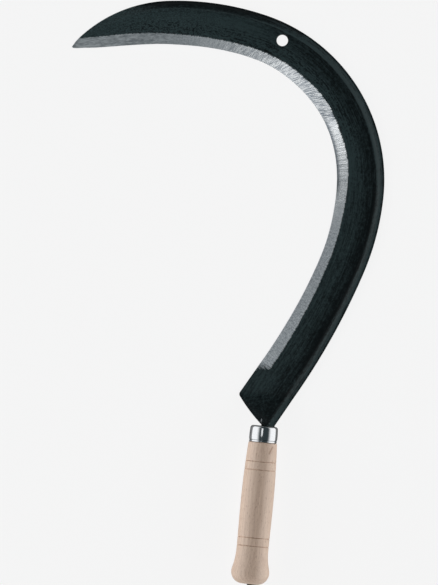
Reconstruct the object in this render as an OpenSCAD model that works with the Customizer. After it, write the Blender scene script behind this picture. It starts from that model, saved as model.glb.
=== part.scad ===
// Brush sickle: a forged crescent blade with a ribbed spine and a ground cutting edge,
// cranked at the neck into a round turned handle that ends in a metal ferrule.
// It lies flat, as set down: the blade's underside and the handle's butt touch z = 0,
// the handle runs along Y and the middle of the whole outline is the origin.

/* [Spine of the blade] */
// Angle between the straight start of the spine and the line across the handle
spine_lean = 60.8; // [54:0.2:66]
// Length of the straight start of the spine, above the neck
straight_len = 39; // [25:1:60]
// Radius of the gentle bend above the straight
lower_r = 660; // [400:10:900]
// Turn of the gentle bend in degrees
lower_turn = 11.5; // [8:0.1:16]
// Radius of the rising stretch
rising_r = 255; // [200:5:320]
// Turn of the rising stretch in degrees
rising_turn = 16.8; // [12:0.1:22]
// Radius of the crook, the tight turn of the crescent
crook_r = 168; // [140:1:200]
// Turn of the crook in degrees
crook_turn = 77.4; // [70:0.1:84]
// Radius of the crown, the flatter stretch over the top
crown_r = 270; // [220:2:330]
// Turn of the crown in degrees
crown_turn = 20.8; // [14:0.1:26]
// Radius of the toe, where the spine comes down to the tip
toe_r = 132; // [110:1:160]
// Turn of the toe in degrees
toe_turn = 46.2; // [38:0.1:52]

/* [Width of the blade] */
// Width at the heel
heel_w = 46.2; // [38:0.1:54]
// Width at the waist of the lower blade
waist_w = 44.7; // [36:0.1:52]
// Place of that waist, along the spine from the neck
waist_at = 150; // [110:5:190]
// Width at the belly, where most of the cutting is done
belly_w = 46.1; // [38:0.1:54]
// Place of the belly, along the spine from the neck
belly_at = 255; // [215:5:300]
// Width at the crown
crown_w = 44.7; // [36:0.1:52]
// Place where the crown's width is reached, along the spine from the neck
crown_at = 360; // [320:5:420]
// Length of the toe's taper: the width has fallen by nearly a third this far from the tip
toe_len = 45; // [36:1:60]
// Sharpness of the toe's outline: less is blunter
toe_power = 0.78; // [0.65:0.01:0.9]
// Width of the blunt tip
tip_w = 1.6; // [1:0.1:3]

/* [Section of the blade] */
// Thickness of the plate
plate_t = 2; // [1.6:0.1:3]
// Depth of the groove along the rib's foot, which fades out across the plate
groove = 0.35; // [0.1:0.05:0.6]
// Thickness left at the cutting edge
edge_t = 0.4; // [0.3:0.05:0.8]
// Width of the ground bevel at its lower end
bevel_heel_w = 11; // [7:0.1:14]
// Width of the ground bevel at the waist, where it is narrowest
bevel_waist_w = 9.2; // [7:0.1:14]
// Place of that width, along the spine from the neck
bevel_waist_at = 200; // [150:5:240]
// Width of the ground bevel in the crook, where it is sharpened most
bevel_crook_w = 11.9; // [7:0.1:14]
// Place of that width, along the spine from the neck
bevel_crook_at = 320; // [280:5:380]
// Width of the ground bevel at the crown
bevel_crown_w = 9.6; // [7:0.1:14]
// Place of that width, along the spine from the tip
bevel_crown_from_tip = 118; // [90:2:150]
// Width of the ground bevel at the tip
tip_bevel_w = 13.2; // [9:0.1:16]
// Place where the grinding starts, along the spine from the neck
bevel_at = 36.5; // [24:0.5:60]
// Length of the rounded end of the grinding
bevel_run = 8; // [4:0.5:16]
// Width of the rib along the spine
rib_w = 8.5; // [6:0.5:11]
// Height of the rib above the plate
rib_h = 1.5; // [1:0.1:3]
// Distance of the rib's crest from the outer edge
crest_in = 1.6; // [1.2:0.1:3]
// Radius of the rounded arris along the outer edge
arris_r = 0.5; // [0.3:0.1:0.9]
// Distance from the tip where the rib starts to sink
rib_sinks_at = 130; // [90:5:180]
// Distance from the tip where the rib has gone
rib_ends_at = 55; // [30:5:80]

/* [Hanging hole] */
// Diameter of the hole
hole_d = 11; // [6:0.5:14]
// Distance of its centre from the tip, along the spine
hole_from_tip = 228; // [150:2:300]
// Distance of its centre from the spine's outer edge
hole_in = 16.4; // [16:0.1:24]

/* [Heel and neck] */
// Place of the heel's corner, along the spine from the neck
heel_at = 5; // [2:0.5:12]
// Length of the heel's rounded corner along each side
heel_round = 3; // [1.5:0.5:8]
// How far the sloping heel bows out from a straight line
heel_bow = 0.9; // [0:0.1:3]
// Reach of the neck from the handle's axis towards the spine
neck_out = 9.9; // [7.5:0.1:12]
// Step of the shoulder above and below the tang
shoulder = 0.7; // [0.4:0.1:1.5]
// Step of the shoulder on the side away from the spine
shoulder_in = 0.4; // [0.3:0.1:2]
// Height of the square foot of the neck
foot_h = 1; // [0.5:0.1:3]
// Height of the folded edge along the heel
fold_h = 2.4; // [0.5:0.1:3.5]
// Width of the folded edge
fold_w = 4.5; // [3:0.5:7]
// Length over which the neck climbs from the plate to the handle's axis
crank_len = 31; // [24:1:40]

/* [Tang] */
// Width of the tang at the shoulder
tang_w = 5.4; // [4:0.1:5.6]
// Thickness of the tang at the shoulder
tang_t = 4.4; // [3:0.1:6]
// Width of the tang at the butt
tang_end_w = 4.2; // [3:0.1:5]
// Thickness of the tang at the butt
tang_end_t = 3.8; // [2.5:0.1:4.6]
// Reach of the clinched end from the handle's axis
clinch_reach = 10.3; // [6:0.1:12]
// Thickness of the clinched end at its tip
clinch_tip_t = 2.6; // [1.5:0.1:3]
// Inner radius of the clinch
clinch_r = 0.5; // [0.4:0.1:1]
// Clearance between the clinched end and the butt
clinch_gap = 0.3; // [0.2:0.05:0.5]
// Clearance of the tang in its hole, all round
tang_fit = 0.15; // [0.05:0.05:0.4]

/* [Ferrule] */
// Outer diameter at the lower end
ferrule_d = 26.4; // [25:0.1:27]
// Swell of the ferrule's side beyond that diameter, on the radius
ferrule_swell = 0.5; // [0:0.1:1.2]
// Height of the ferrule
ferrule_h = 16.2; // [10:0.1:24]
// Wall of the ferrule at its lower end
ferrule_wall = 1.2; // [0.8:0.1:2]
// Radius of the rounded shoulder at the top
ferrule_round = 2.6; // [1.6:0.1:4]
// Height of the rolled bead round the lower end
bead_h = 2.4; // [1.6:0.2:4]
// How far the bead stands out beyond the lower end's diameter, on the radius
bead_out = 0.25; // [0.1:0.05:0.5]
// Diameter of the mouth that the tang goes through
mouth_d = 13; // [11:0.5:15]
// Clearance between the ferrule and the handle's tenon, and above the tenon
ferrule_fit = 0.05; // [0.02:0.01:0.2]
// Clearance between the neck's foot and the ferrule
seat_gap = 0.1; // [0.05:0.05:0.4]

/* [Handle] */
// Length of the handle below the ferrule
handle_len = 137.4; // [110:0.2:170]
// Diameter of the shoulder under the ferrule
shoulder_d = 27.7; // [27.2:0.1:30]
// Small chamfer on that shoulder
shoulder_chamfer = 0.5; // [0:0.1:1]
// Diameter at the belly of the grip
belly_d = 31.7; // [31:0.1:36]
// Distance of the belly from the shoulder
belly_from = 59; // [45:1:68]
// Diameter at the waist above the butt
grip_waist_d = 31; // [28:0.1:31.6]
// Distance from the shoulder where the cove to the butt starts
cove_from = 104; // [90:1:110]
// Diameter of the swollen butt
butt_d = 37; // [35:0.2:42]
// Radius of the swell where it meets the cove
knob_r = 12; // [8:1:20]
// Length of the rounded end of the butt
butt_round = 11.5; // [8:0.5:14]
// Reach of that rounding across the end face
butt_round_in = 11; // [7:0.5:12]
// Width of each scored ring
score_w = 0.9; // [0.5:0.1:1.6]
// Depth of each scored ring
score_depth = 0.45; // [0.2:0.05:0.8]
// Distance between the two rings of a pair
score_pitch = 8; // [4:0.5:12]
// Distance of the upper pair from the shoulder
upper_score_at = 18.5; // [10:0.5:30]
// Distance of the lower pair from the shoulder
lower_score_at = 92.5; // [80:0.5:100]

/* [Hidden] */
$fn = 96;

lacquer = "#1d2524";
plating = "#c9ccd0";
beech = "#cdb3a0";

// Spacing of the stations along the blade, its toe and the handle, and steps over each bend and corner
station_step = 7;
toe_step = 4;
handle_step = 5;
bend_steps = 6;
heel_steps = 12;
corner_steps = 4;
grind_steps = 5;
// Steps over each part of the upper face, from the spine to the ground bevel
arris_steps = 2;
fall_steps = 4;
plate_steps = 3;

// Strip kept for the rounded spine where the blade runs out to the tip
tip_strip = 2.4;
// The rib's largest share of the width inside the bevel
rib_share = 0.62;
// Width of the plate, between rib and bevel, at which the groove starts and at which it has its full depth,
// and how soon it fades out across the plate
groove_starts_at = 2;
groove_full_at = 12;
groove_power = 3;
// The spine's lower arris: its height as a share of the plate, its width as a share of the crest's distance
low_arris_share = 0.3;
low_arris_in_share = 0.2;
// Towards the tip the crest and its arris keep at least this share of their size
least_crest_share = 0.15;
// The eased corners of the tang as a share of its thickness, and the slight crown of its sides
corner_share = 0.16;
crown_share = 0.1;
// Points of the tang's section that are not along its top
bar_other_points = 5;
// The unground edge is only broken, to this share of the bevel
broken_share = 0.06;
// How late the neck thickens on its way down to the foot, and how early its folded edge rises
neck_fill_power = 2.2;
fold_power = 0.8;
fold_start_power = 4;
fold_edge_share = 0.75;
fold_top_share = 0.2;
// The sloping heel takes this share of the spine's length beside it, its rounded corner the rest
heel_share = 0.8;
// The toe's finer stations start these many toe lengths before the tip
toe_stations_from = 1.2;
// The bead rounds back over this share of the ferrule's wall, up to this angle, and the side starts above it
bead_wall_share = 0.7;
bead_ends_at = 60;
bead_gap = 0.3;
// Share of the crank's length that each of its two bends takes
crank_bend = 0.3;

over = 1;
axis_z = butt_d / 2;
tenon_r = ferrule_d / 2 - ferrule_wall - ferrule_fit;
tenon_len = ferrule_h - ferrule_wall - ferrule_fit;
foot_y = ferrule_h + seat_gap;
neck_t = tang_t + 2 * shoulder;
neck_in = tang_w / 2 + shoulder_in;
neck_rise = axis_z - neck_t / 2;

// Shared curves
function mix(a, b, x) = a + (b - a) * x;
function part_of(x, from, to) = min(max((x - from) / (to - from), 0), 1);
function ease(x) = (1 - cos(180 * x)) / 2;
function along(heading) = [cos(heading), sin(heading)];
function left_of(heading) = [-sin(heading), cos(heading)];

// The spine: a straight start, then arcs that all turn the same way and meet tangent
SPINE_ARCS = [
    [lower_r, lower_turn],
    [rising_r, rising_turn],
    [crook_r, crook_turn],
    [crown_r, crown_turn],
    [toe_r, toe_turn]
];
function arc_len(arc) = arc[0] * arc[1] * PI / 180;
function arcs_len(i = 0) = i < len(SPINE_ARCS) ? arc_len(SPINE_ARCS[i]) + arcs_len(i + 1) : 0;
spine_len = straight_len + arcs_len();
spine_start = [neck_out, foot_y + foot_h];

// A place on the spine is [point, heading]
function arc_place(from, heading, r, s) =
    let (end_heading = heading + s / r * 180 / PI)
    [from + r * (left_of(heading) - left_of(end_heading)), end_heading];
function place_on_arcs(from, heading, s, i = 0) =
    let (
        this_len = arc_len(SPINE_ARCS[i]),
        here = arc_place(from, heading, SPINE_ARCS[i][0], min(s, this_len))
    )
    s <= this_len || i == len(SPINE_ARCS) - 1 ? here : place_on_arcs(here[0], here[1], s - this_len, i + 1);
function spine_place(s) =
    s <= straight_len
    ? [spine_start + s * along(spine_lean), spine_lean]
    : place_on_arcs(spine_start + straight_len * along(spine_lean), spine_lean, s - straight_len);

// Width of the blade, square to the spine
function body_w(s) =
    s < waist_at ? mix(heel_w, waist_w, ease(part_of(s, heel_at, waist_at)))
    : s < belly_at ? mix(waist_w, belly_w, ease(part_of(s, waist_at, belly_at)))
    : mix(belly_w, crown_w, ease(part_of(s, belly_at, crown_at)));
function blade_w(s) = body_w(s) * pow(1 - exp((s - spine_len) / toe_len), toe_power);
last_s = spine_len + toe_len * ln(1 - pow(tip_w / crown_w, 1 / toe_power));

function inner_at(s) = let (p = spine_place(s)) p[0] + blade_w(s) * left_of(p[1]);

// The ground bevel and the rib along the blade
bevel_crown_at = spine_len - bevel_crown_from_tip;
function full_bevel(s) =
    s < bevel_waist_at ? mix(bevel_heel_w, bevel_waist_w, ease(part_of(s, bevel_at, bevel_waist_at)))
    : s < bevel_crook_at ? mix(bevel_waist_w, bevel_crook_w, ease(part_of(s, bevel_waist_at, bevel_crook_at)))
    : s < bevel_crown_at ? mix(bevel_crook_w, bevel_crown_w, ease(part_of(s, bevel_crook_at, bevel_crown_at)))
    : mix(bevel_crown_w, tip_bevel_w, ease(part_of(s, bevel_crown_at, last_s)));
function ground_share(s) =
    let (start = 1 - part_of(s, bevel_at, bevel_at + bevel_run))
    max(sqrt(1 - start * start), broken_share);
function rib_at_s(s) = rib_h * ease(1 - part_of(s, spine_len - rib_sinks_at, spine_len - rib_ends_at));

// A station is [point on the spine side, point on the edge side, section]. Each section is a ring of
// [distance from the spine side, height]: the upper face from spine side to edge, then the underside.
// The bevel is given as its full width and the share of it that is ground there.
function blade_section(w, floor_t, rib, bevel, ground, fold) =
    let (
        bevel_here = min(bevel * ground, w - min(tip_strip, w / 2)),
        edge_here = floor_t - (plate_t - edge_t) * ground,
        plate_here = edge_here + (plate_t - edge_t) * bevel_here / bevel,
        bevel_line = w - bevel_here,
        rib_foot = min(rib_w, bevel_line * rib_share),
        crest_share = max(rib_foot / rib_w, least_crest_share),
        crest = crest_in * crest_share,
        crest_h = plate_here + rib,
        arris = arris_r * crest_share,
        low = low_arris_share * plate_here,
        groove_here = groove * part_of(bevel_line - rib_foot, groove_starts_at, groove_full_at)
    )
    concat(
        [[0, low]],
        [for (i = [0:arris_steps])
            let (a = 90 * i / arris_steps)
            [arris * (1 - cos(a)), crest_h - arris * (1 - sin(a))]],
        [for (i = [0:fall_steps])
            let (x = i / fall_steps)
            [mix(crest, rib_foot, x), mix(crest_h, plate_here - groove_here, ease(x))]],
        [for (i = [1:plate_steps])
            let (x = i / (plate_steps + 1), d = mix(rib_foot, bevel_line, x))
            [d, plate_here - groove_here * pow(1 - x, groove_power) + folded(d, w, fold)]],
        [[bevel_line, plate_here + folded(bevel_line, w, fold)]],
        [[w, edge_here + fold_edge_share * fold]],
        [[w, 0], [bevel_line, 0], [rib_foot, 0], [low_arris_in_share * crest, 0]]
    );
function folded(d, w, fold) = fold * ease(part_of(d, w - fold_w, w - fold_top_share * fold_w));

// The tang's section is a bar with its corners eased, with as many points as the blade's section
top_points = arris_steps + fall_steps + plate_steps + 5;
function bar_section(w, t) =
    let (low = (neck_t - t) / 2, corner = corner_share * t, top = low + t)
    concat(
        [[crown_share * corner, low + corner], [0, low + t / 2], [crown_share * corner, top - corner]],
        [for (i = [0:top_points - bar_other_points])
            [mix(corner, w - corner, i / (top_points - bar_other_points)), top]],
        [[w, top - corner]],
        [[w, low + corner], [w - corner, low], [w / 2, low], [corner, low]]
    );

// Stations of the blade, from the heel to the tip
blade_from = heel_at + heel_round;
toe_from = spine_len - toe_stations_from * toe_len;
function spaced(from, to, step) =
    let (steps = ceil((to - from) / step))
    [for (i = [1:steps]) mix(from, to, i / steps)];
blade_stops = concat(
    [blade_from],
    spaced(blade_from, bevel_at, station_step),
    [for (i = [1:grind_steps]) bevel_at + bevel_run * (1 - cos(90 * i / grind_steps))],
    spaced(bevel_at + bevel_run, toe_from, station_step),
    spaced(toe_from, last_s, toe_step)
);
blade_stations = [for (s = blade_stops)
    [spine_place(s)[0], inner_at(s),
        blade_section(blade_w(s), plate_t, rib_at_s(s), full_bevel(s), ground_share(s), 0)]];

// Stations of the heel, from the neck's foot up to the blade. The edge side follows the sloping heel
// and its rounded corner while the spine side runs up the first few millimetres of the spine.
neck_inner = [-neck_in, foot_y + foot_h];
heel_corner = spine_place(heel_at)[0] + heel_w * left_of(spine_lean);
heel_slope = (heel_corner - neck_inner) / norm(heel_corner - neck_inner);
slope_end = heel_corner - heel_round * heel_slope;
function bowed(x) =
    mix(neck_inner, slope_end, x) + 4 * heel_bow * x * (1 - x) * [-heel_slope[1], heel_slope[0]];
function cornered(x) =
    mix(mix(slope_end, heel_corner, x), mix(heel_corner, inner_at(blade_from), x), x);
function heel_station(outer, inner, x) =
    let (w = norm(outer - inner), fill = pow(1 - x, neck_fill_power))
    [outer, inner, blade_section(
        w,
        mix(plate_t, neck_t - shoulder / 2, fill),
        mix(rib_at_s(0), shoulder / 2, fill),
        bevel_heel_w,
        broken_share,
        fold_h * pow(1 - x, fold_power) * (1 - pow(1 - x, fold_start_power)) + shoulder / 2 * fill)];
heel_stations = concat(
    [for (i = [0:heel_steps])
        let (x = i / heel_steps, s = heel_share * heel_at * x)
        heel_station(spine_place(s)[0], bowed(x), x)],
    [for (i = [1:corner_steps - 1])
        let (x = i / corner_steps, s = mix(heel_share * heel_at, blade_from, x))
        heel_station(spine_place(s)[0], cornered(x), 1)]
);

// Stations of the tang, from its clinched tip back up to the shoulder
clinch_start = [tang_end_w / 2 + clinch_r, clinch_r - handle_len - clinch_gap];
clinch_face_y = clinch_start[1] - clinch_r;
tang_stations = concat(
    [[[clinch_reach, clinch_face_y], [clinch_reach, clinch_face_y - clinch_tip_t],
        bar_section(clinch_tip_t, tang_end_t)]],
    [for (i = [0:bend_steps])
        let (out = along(270 - 90 * i / bend_steps))
        [clinch_start + clinch_r * out, clinch_start + (clinch_r + tang_end_w) * out,
            bar_section(tang_end_w, tang_end_t)]],
    [[[tang_w / 2, foot_y], [-tang_w / 2, foot_y], bar_section(tang_w, tang_t)]]
);
foot_station = [
    [neck_out, foot_y],
    [-neck_in, foot_y],
    heel_station([neck_out, foot_y], [-neck_in, foot_y], 0)[2]
];

// The whole forging as rings of points, in the handle's own frame: X across, Y along, z = 0 under the plate
function climb(y) =
    let (x = part_of(foot_y + foot_h + crank_len - y, 0, crank_len), r = crank_bend)
    neck_rise * (
        x < r ? x * x / (2 * r * (1 - r))
        : x < 1 - r ? (x - r / 2) / (1 - r)
        : 1 - (1 - x) * (1 - x) / (2 * r * (1 - r))
    );
function ring(station) =
    let (outer = station[0], inner = station[1], w = norm(inner - outer))
    [for (p = station[2])
        let (q = mix(outer, inner, p[0] / w))
        [q[0], q[1], p[1] + climb(q[1])]];
forging_rings = [for (s = concat(tang_stations, [foot_station], heel_stations, blade_stations)) ring(s)];

// The middle of the outline goes to the origin
function span_middle(points, i) =
    let (values = [for (p = points) p[i]])
    (min(values) + max(values)) / 2;
forging_points = [for (r = forging_rings) each r];
butt_span = [[-butt_d / 2, -handle_len], [butt_d / 2, -handle_len]];
outline_points = concat(forging_points, butt_span);
middle = [span_middle(outline_points, 0), span_middle(outline_points, 1)];

module in_frame() {
    translate([-middle[0], -middle[1], 0])
        children();
}

// Skin over rings of equally many points, closed at both ends
module skin(rings) {
    count = len(rings[0]);
    last = len(rings) - 1;
    polyhedron(
        points = [for (r = rings) each r],
        faces = concat(
            [for (j = [1:count - 2]) [0, j, j + 1]],
            [for (i = [0:last - 1], j = [0:count - 1])
                let (a = i * count + j, b = i * count + (j + 1) % count)
                each [[a, a + count, b + count], [a, b + count, b]]],
            [for (j = [1:count - 2]) [last * count, last * count + j + 1, last * count + j]]
        )
    );
}

module blade() {
    hole = spine_place(spine_len - hole_from_tip);
    hole_centre = hole[0] + hole_in * left_of(hole[1]);
    color(lacquer)
        in_frame()
            difference() {
                skin(forging_rings);
                translate([hole_centre[0], hole_centre[1], -over])
                    cylinder(d = hole_d, h = plate_t + rib_h + 2 * over);
            }
}

// Turns a profile of [radius, distance along Y] round the handle's axis
module turned(profile) {
    translate([0, 0, axis_z])
        rotate([-90, 0, 0])
            rotate_extrude()
                polygon(profile);
}
function round_corner(centre, rx, ry, from, to, steps) =
    [for (i = [0:steps]) let (a = mix(from, to, i / steps)) centre + [rx * cos(a), ry * sin(a)]];

module ferrule() {
    low_r = ferrule_d / 2;
    bead_steps = 6;
    bead_round = bead_out + bead_wall_share * ferrule_wall;
    side_steps = 10;
    round_steps = 8;
    swell_power = 0.8;
    side_from = bead_h + bead_gap;
    top = ferrule_h - ferrule_round;
    function side_r(y) =
        low_r + ferrule_swell * sin(180 * pow(part_of(y, 0, ferrule_h), swell_power));
    color(plating)
        in_frame()
            turned(concat(
                [[tenon_r + ferrule_fit, 0]],
                round_corner([low_r + bead_out - bead_round, bead_h / 2],
                    bead_round, bead_h / 2, -90, bead_ends_at, bead_steps),
                [for (i = [0:side_steps - 1])
                    let (y = mix(side_from, top, i / side_steps))
                    [side_r(y), y]],
                round_corner([side_r(top) - ferrule_round, top],
                    ferrule_round, ferrule_round, 0, 90, round_steps),
                [[mouth_d / 2, ferrule_h]],
                [[mouth_d / 2, ferrule_h - ferrule_wall]],
                [[tenon_r + ferrule_fit, ferrule_h - ferrule_wall]]
            ));
}

// Radius of the handle at a distance from its shoulder, without the scored rings
cove_len = handle_len - butt_round - cove_from;
cove_rise = (butt_d - grip_waist_d) / 2;
both_r = (cove_len * cove_len + cove_rise * cove_rise) / (2 * cove_rise);
cove_r = both_r - knob_r;
cove_end = cove_from + cove_len * cove_r / both_r;
function handle_r(d) =
    d < belly_from ? belly_d / 2 - (belly_d - shoulder_d) / 2 * pow(1 - d / belly_from, 2)
    : d < cove_from ? mix(belly_d, grip_waist_d, ease(part_of(d, belly_from, cove_from))) / 2
    : d < cove_end ? grip_waist_d / 2 + cove_r - sqrt(cove_r * cove_r - pow(d - cove_from, 2))
    : butt_d / 2 - knob_r + sqrt(knob_r * knob_r - pow(handle_len - butt_round - d, 2));
function score(d) = [
    [handle_r(d - score_w / 2), -(d - score_w / 2)],
    [handle_r(d) - score_depth, -d],
    [handle_r(d + score_w / 2), -(d + score_w / 2)]
];
function side(from, to) =
    let (steps = max(ceil((to - from) / handle_step), 1))
    [for (i = [1:steps - 1]) let (d = mix(from, to, i / steps)) [handle_r(d), -d]];

module handle() {
    butt_flat_r = butt_d / 2 - butt_round_in;
    butt_edge = handle_len - butt_round;
    butt_steps = 10;
    profile = concat(
        [[0, tenon_len], [tenon_r, tenon_len], [tenon_r, 0]],
        [[handle_r(0) - shoulder_chamfer, 0]],
        [[handle_r(shoulder_chamfer), -shoulder_chamfer]],
        side(shoulder_chamfer, upper_score_at),
        score(upper_score_at),
        score(upper_score_at + score_pitch),
        side(upper_score_at + score_pitch, lower_score_at),
        score(lower_score_at),
        score(lower_score_at + score_pitch),
        side(lower_score_at + score_pitch, butt_edge),
        round_corner([butt_flat_r, -butt_edge], butt_round_in, butt_round, 0, -90, butt_steps),
        [[0, -handle_len]]
    );
    color(beech)
        in_frame()
            difference() {
                turned(profile);
                hull() {
                    tang_slot(tenon_len + over, tang_w, tang_t);
                    tang_slot(-handle_len - over, tang_end_w, tang_end_t);
                }
            }
}

// One thin end of the tapered hole that the tang fills
module tang_slot(y, w, t) {
    slice = 0.01;
    translate([-w / 2 - tang_fit, y, axis_z - t / 2 - tang_fit])
        cube([w + 2 * tang_fit, slice, t + 2 * tang_fit]);
}

blade();
ferrule();
handle();
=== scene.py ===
import math

import bpy
import numpy as np
from mathutils import Matrix


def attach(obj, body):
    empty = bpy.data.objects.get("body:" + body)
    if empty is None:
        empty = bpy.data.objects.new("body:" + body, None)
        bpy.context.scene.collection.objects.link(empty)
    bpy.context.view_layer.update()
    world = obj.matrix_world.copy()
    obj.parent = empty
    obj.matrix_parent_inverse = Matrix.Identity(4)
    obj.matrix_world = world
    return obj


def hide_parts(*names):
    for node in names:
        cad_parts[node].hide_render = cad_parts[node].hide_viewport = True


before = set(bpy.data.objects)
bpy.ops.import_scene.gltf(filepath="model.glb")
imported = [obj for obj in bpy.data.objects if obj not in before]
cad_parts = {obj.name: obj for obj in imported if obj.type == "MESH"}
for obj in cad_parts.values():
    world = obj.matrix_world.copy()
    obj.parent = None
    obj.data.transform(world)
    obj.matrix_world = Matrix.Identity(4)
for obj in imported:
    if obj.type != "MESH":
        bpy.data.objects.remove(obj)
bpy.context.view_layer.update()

# The blade, its neck and its tang are one forging of carbon steel. The smith leaves a rib along the
# spine, draws the rest out into a thin, slightly hollow plate, and folds and cranks the neck up out of
# it. Sizes are in millimetres, in the handle's own frame: Y along the handle, z = 0 under the plate.
MM = 0.001
BUTT_D = 37
AXIS_Z = BUTT_D / 2
HANDLE_LEN = 137.4
FERRULE_H = 16.2
# The middle of the whole tool's box, which is where the shared frame has its origin
middle = np.array([-63.9295, 138.866])

# The spine leaves the neck in a straight line and then follows arcs of these [radius, turn in degrees]
spine_lean = math.radians(60.8)
straight_len = 39
spine_arcs = [(660, 11.5), (255, 16.8), (168, 77.4), (270, 20.8), (132, 46.2)]
# The plate, its width at places along the spine, and how it narrows to the toe
heel_w, waist_w, belly_w, crown_w = 46.2, 44.7, 46.1, 44.7
waist_at, belly_at, crown_at = 150, 255, 360
toe_len, toe_power, tip_w, tip_strip = 45, 0.78, 1.6, 2.4
bent_len, bent_power, bent_by = 8, 1.3, np.array([0.15, -1.7])
plate_t, groove_depth, edge_t = 2, 0.35, 0.4
# The ground strip along the edge
bevel_at, bevel_run, unground = 36.5, 8, 0.06
bevel_heel_w, bevel_waist_w, bevel_crook_w, bevel_crown_w, tip_bevel_w = 11, 9.2, 11.9, 9.6, 13.2
bevel_waist_at, bevel_crook_at, bevel_crown_from_tip = 200, 320, 118
# The rib, with where it sinks into the plate and ends, measured back from the tip
rib_w, rib_h, crest_in, arris_r, rib_sinks_at, rib_ends_at = 8.5, 1.5, 1.6, 0.5, 130, 55
# The heel, the folded and cranked neck, its square foot, the tang and the tang's clinched end
heel_at, heel_round, heel_bow = 5, 3, 0.9
neck_out, foot_gap, foot_h = 9.9, 0.1, 1
fold_h, fold_w, crank_len, crank_bend = 2.4, 4.5, 31, 0.3
tang_w, tang_t, tang_end_w, tang_end_t = 5.4, 4.4, 4.2, 3.8
clinch_reach, clinch_tip_t, clinch_r, clinch_gap = 10.3, 2.6, 0.5, 0.3
shoulder, shoulder_in = 0.7, 0.4
foot_y = FERRULE_H + foot_gap
neck_t = tang_t + 2 * shoulder
neck_in = tang_w / 2 + shoulder_in
neck_outer = np.array([neck_out, foot_y + foot_h])
neck_inner = np.array([-neck_in, foot_y + foot_h])


def mix(a, b, x):
    return a + (b - a) * x


def part_of(x, start, end):
    """How far x has come from start to end, from 0 to 1."""
    return np.clip((x - start) / (end - start), 0, 1)


def ease(x):
    """Turns an even run from 0 to 1 into one that starts and ends gently."""
    return (1 - np.cos(np.pi * x)) / 2


def along(heading):
    return np.stack([np.cos(heading), np.sin(heading)], -1)


def left_of(heading):
    return np.stack([-np.sin(heading), np.cos(heading)], -1)


# The start of each arc of the spine, as [distance along it, point, heading], and the spine's end
arc_starts = []
spine_len, turned = straight_len, spine_lean
corner = neck_outer + straight_len * along(spine_lean)
for radius, turn in spine_arcs:
    arc_starts.append((spine_len, corner, turned))
    end = turned + math.radians(turn)
    corner = corner + radius * (left_of(turned) - left_of(end))
    spine_len, turned = spine_len + radius * math.radians(turn), end
last_s = spine_len + toe_len * math.log(1 - (tip_w / crown_w) ** (1 / toe_power))


def spine_at(s):
    """The point on the spine's outer edge at distance s from the neck, and the heading there."""
    if s <= straight_len:
        return neck_outer + s * along(spine_lean), spine_lean
    k = max(i for i, a in enumerate(arc_starts) if a[0] <= s)
    start, point, heading = arc_starts[k]
    end = heading + (s - start) / spine_arcs[k][0]
    return point + spine_arcs[k][0] * (left_of(heading) - left_of(end)), end


def on_blade(points):
    """The distance along the spine and the distance in from it, of points in the plan."""
    from_start = points - neck_outer
    s, d = from_start @ along(spine_lean), from_start @ left_of(spine_lean)
    for (start, point, heading), (radius, turn) in zip(arc_starts, spine_arcs):
        away = points - (point + radius * left_of(heading))
        turned_by = np.arctan2(away[:, 1], away[:, 0]) + np.pi / 2 - heading
        turned_by = (turned_by + np.pi) % (2 * np.pi) - np.pi
        inward = radius - np.linalg.norm(away, axis=1)
        here = (turned_by > 0) & (turned_by < math.radians(turn) + 0.2) & (np.abs(inward - 25) < 30)
        s = np.where(here, start + radius * turned_by, s)
        d = np.where(here, inward, d)
    return s, d


def blade_width(s):
    """From the spine to the edge's true line: three easy runs, and then the narrowing toe."""
    s = np.asarray(s, float)
    body = np.where(
        s < waist_at, mix(heel_w, waist_w, ease(part_of(s, heel_at, waist_at))),
        np.where(s < belly_at, mix(waist_w, belly_w, ease(part_of(s, waist_at, belly_at))),
                 mix(belly_w, crown_w, ease(part_of(s, belly_at, crown_at)))))
    return body * (1 - np.exp((np.minimum(s, last_s) - spine_len) / toe_len)) ** toe_power


def full_bevel(s):
    """The width of the ground strip."""
    crown_s = spine_len - bevel_crown_from_tip
    stops = (bevel_at, bevel_waist_at, bevel_crook_at, crown_s, last_s)
    widths = (bevel_heel_w, bevel_waist_w, bevel_crook_w, bevel_crown_w, tip_bevel_w)
    total = np.full(np.shape(s), float(bevel_heel_w))
    for i in range(len(stops) - 1):
        total = total + (widths[i + 1] - widths[i]) * ease(part_of(s, stops[i], stops[i + 1]))
    return total


def ground_share(s):
    """How much of its full width and depth the strip has: it runs in from the heel in a quarter round."""
    start = 1 - part_of(s, bevel_at, bevel_at + bevel_run)
    return np.maximum(np.sqrt(1 - start * start), unground)


def edge_wander(s):
    """How far the cutting edge wanders in from its true line: it is ground by hand, slightly unevenly."""
    fine = sum(np.sin(s * k + p) for k, p in ((2.1, 0.3), (3.7, 1.9), (5.3, 4.2), (8.9, 2.2))) / 4
    slow = sum(np.sin(s * k + p) for k, p in ((0.11, 0.8), (0.23, 2.7), (0.41, 5.1))) / 3
    worked = ease(part_of(s, 245, 300)) * (1 - ease(part_of(s, 430, 500)))
    by_hand = np.interp(s, [415, 440, 490, 530, 565, 600, 620, 640, 656, 668],
                        [0, 0.5, 0.6, 0, -0.7, -1, -0.6, 0, 0.2, 0])
    return (0.06 + 0.2 * worked) * (1 + fine) / 2 + 0.08 * (1 + slow) / 2 + by_hand


def rib_height(s):
    """The rib's height over the plate, which it sinks into before the tip."""
    return rib_h * ease(1 - part_of(s, spine_len - rib_sinks_at, spine_len - rib_ends_at))


def folded(d, w, fold):
    """How far the fold lifts the plate's edge side in the neck."""
    return fold * ease(part_of(d, w - fold_w, w - 0.2 * fold_w))


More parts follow.
